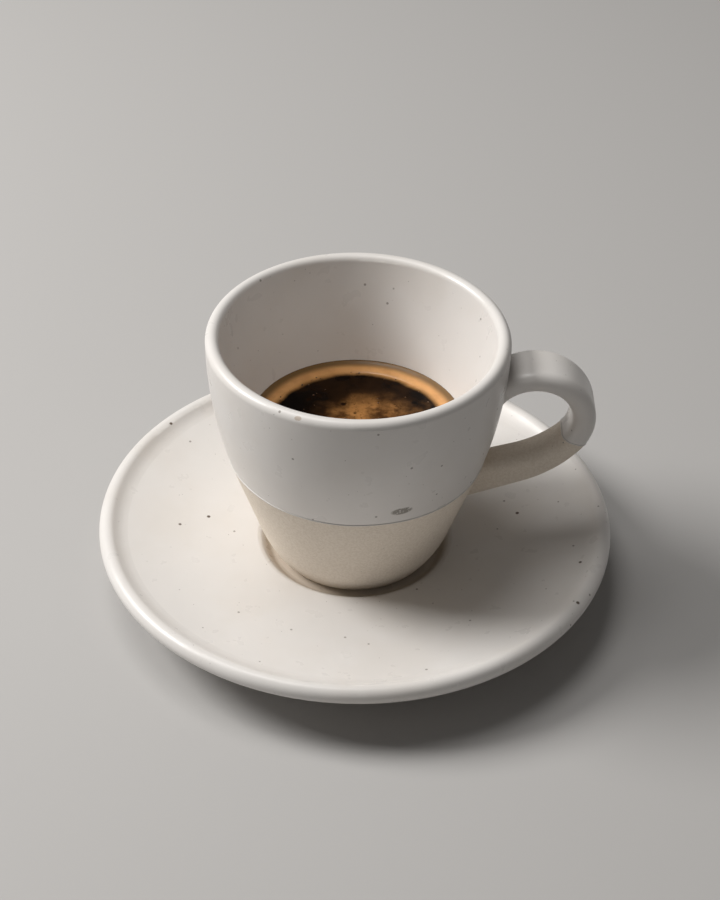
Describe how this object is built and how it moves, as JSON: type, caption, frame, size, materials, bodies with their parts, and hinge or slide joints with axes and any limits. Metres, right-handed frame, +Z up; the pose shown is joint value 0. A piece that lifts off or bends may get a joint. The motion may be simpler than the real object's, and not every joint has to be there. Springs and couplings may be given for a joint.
{
  "type": "espresso shot in a cup and saucer",
  "caption": "Short black coffee with a ring of crema in a thick stoneware cup with a loop handle, standing in the well of a shallow saucer.",
  "frame": {"origin": "middle of the saucer's base, on the surface it stands on", "axes": "+Z up along the common axis of the cup and saucer, +X towards the handle"},
  "size_m": [0.116, 0.116, 0.0646],
  "materials": {
    "stoneware_glaze": "off-white satin glaze over the upper two thirds, bare cream clay below",
    "saucer_glaze": "off-white satin glaze with fine iron specks",
    "coffee": "dark wet coffee",
    "crema_foam": "wet golden brown foam"
  },
  "bodies": {
    "root": {"cup": "stoneware_glaze", "saucer": "saucer_glaze", "espresso": "coffee", "crema": "crema_foam"}
  },
  "joints": []
}
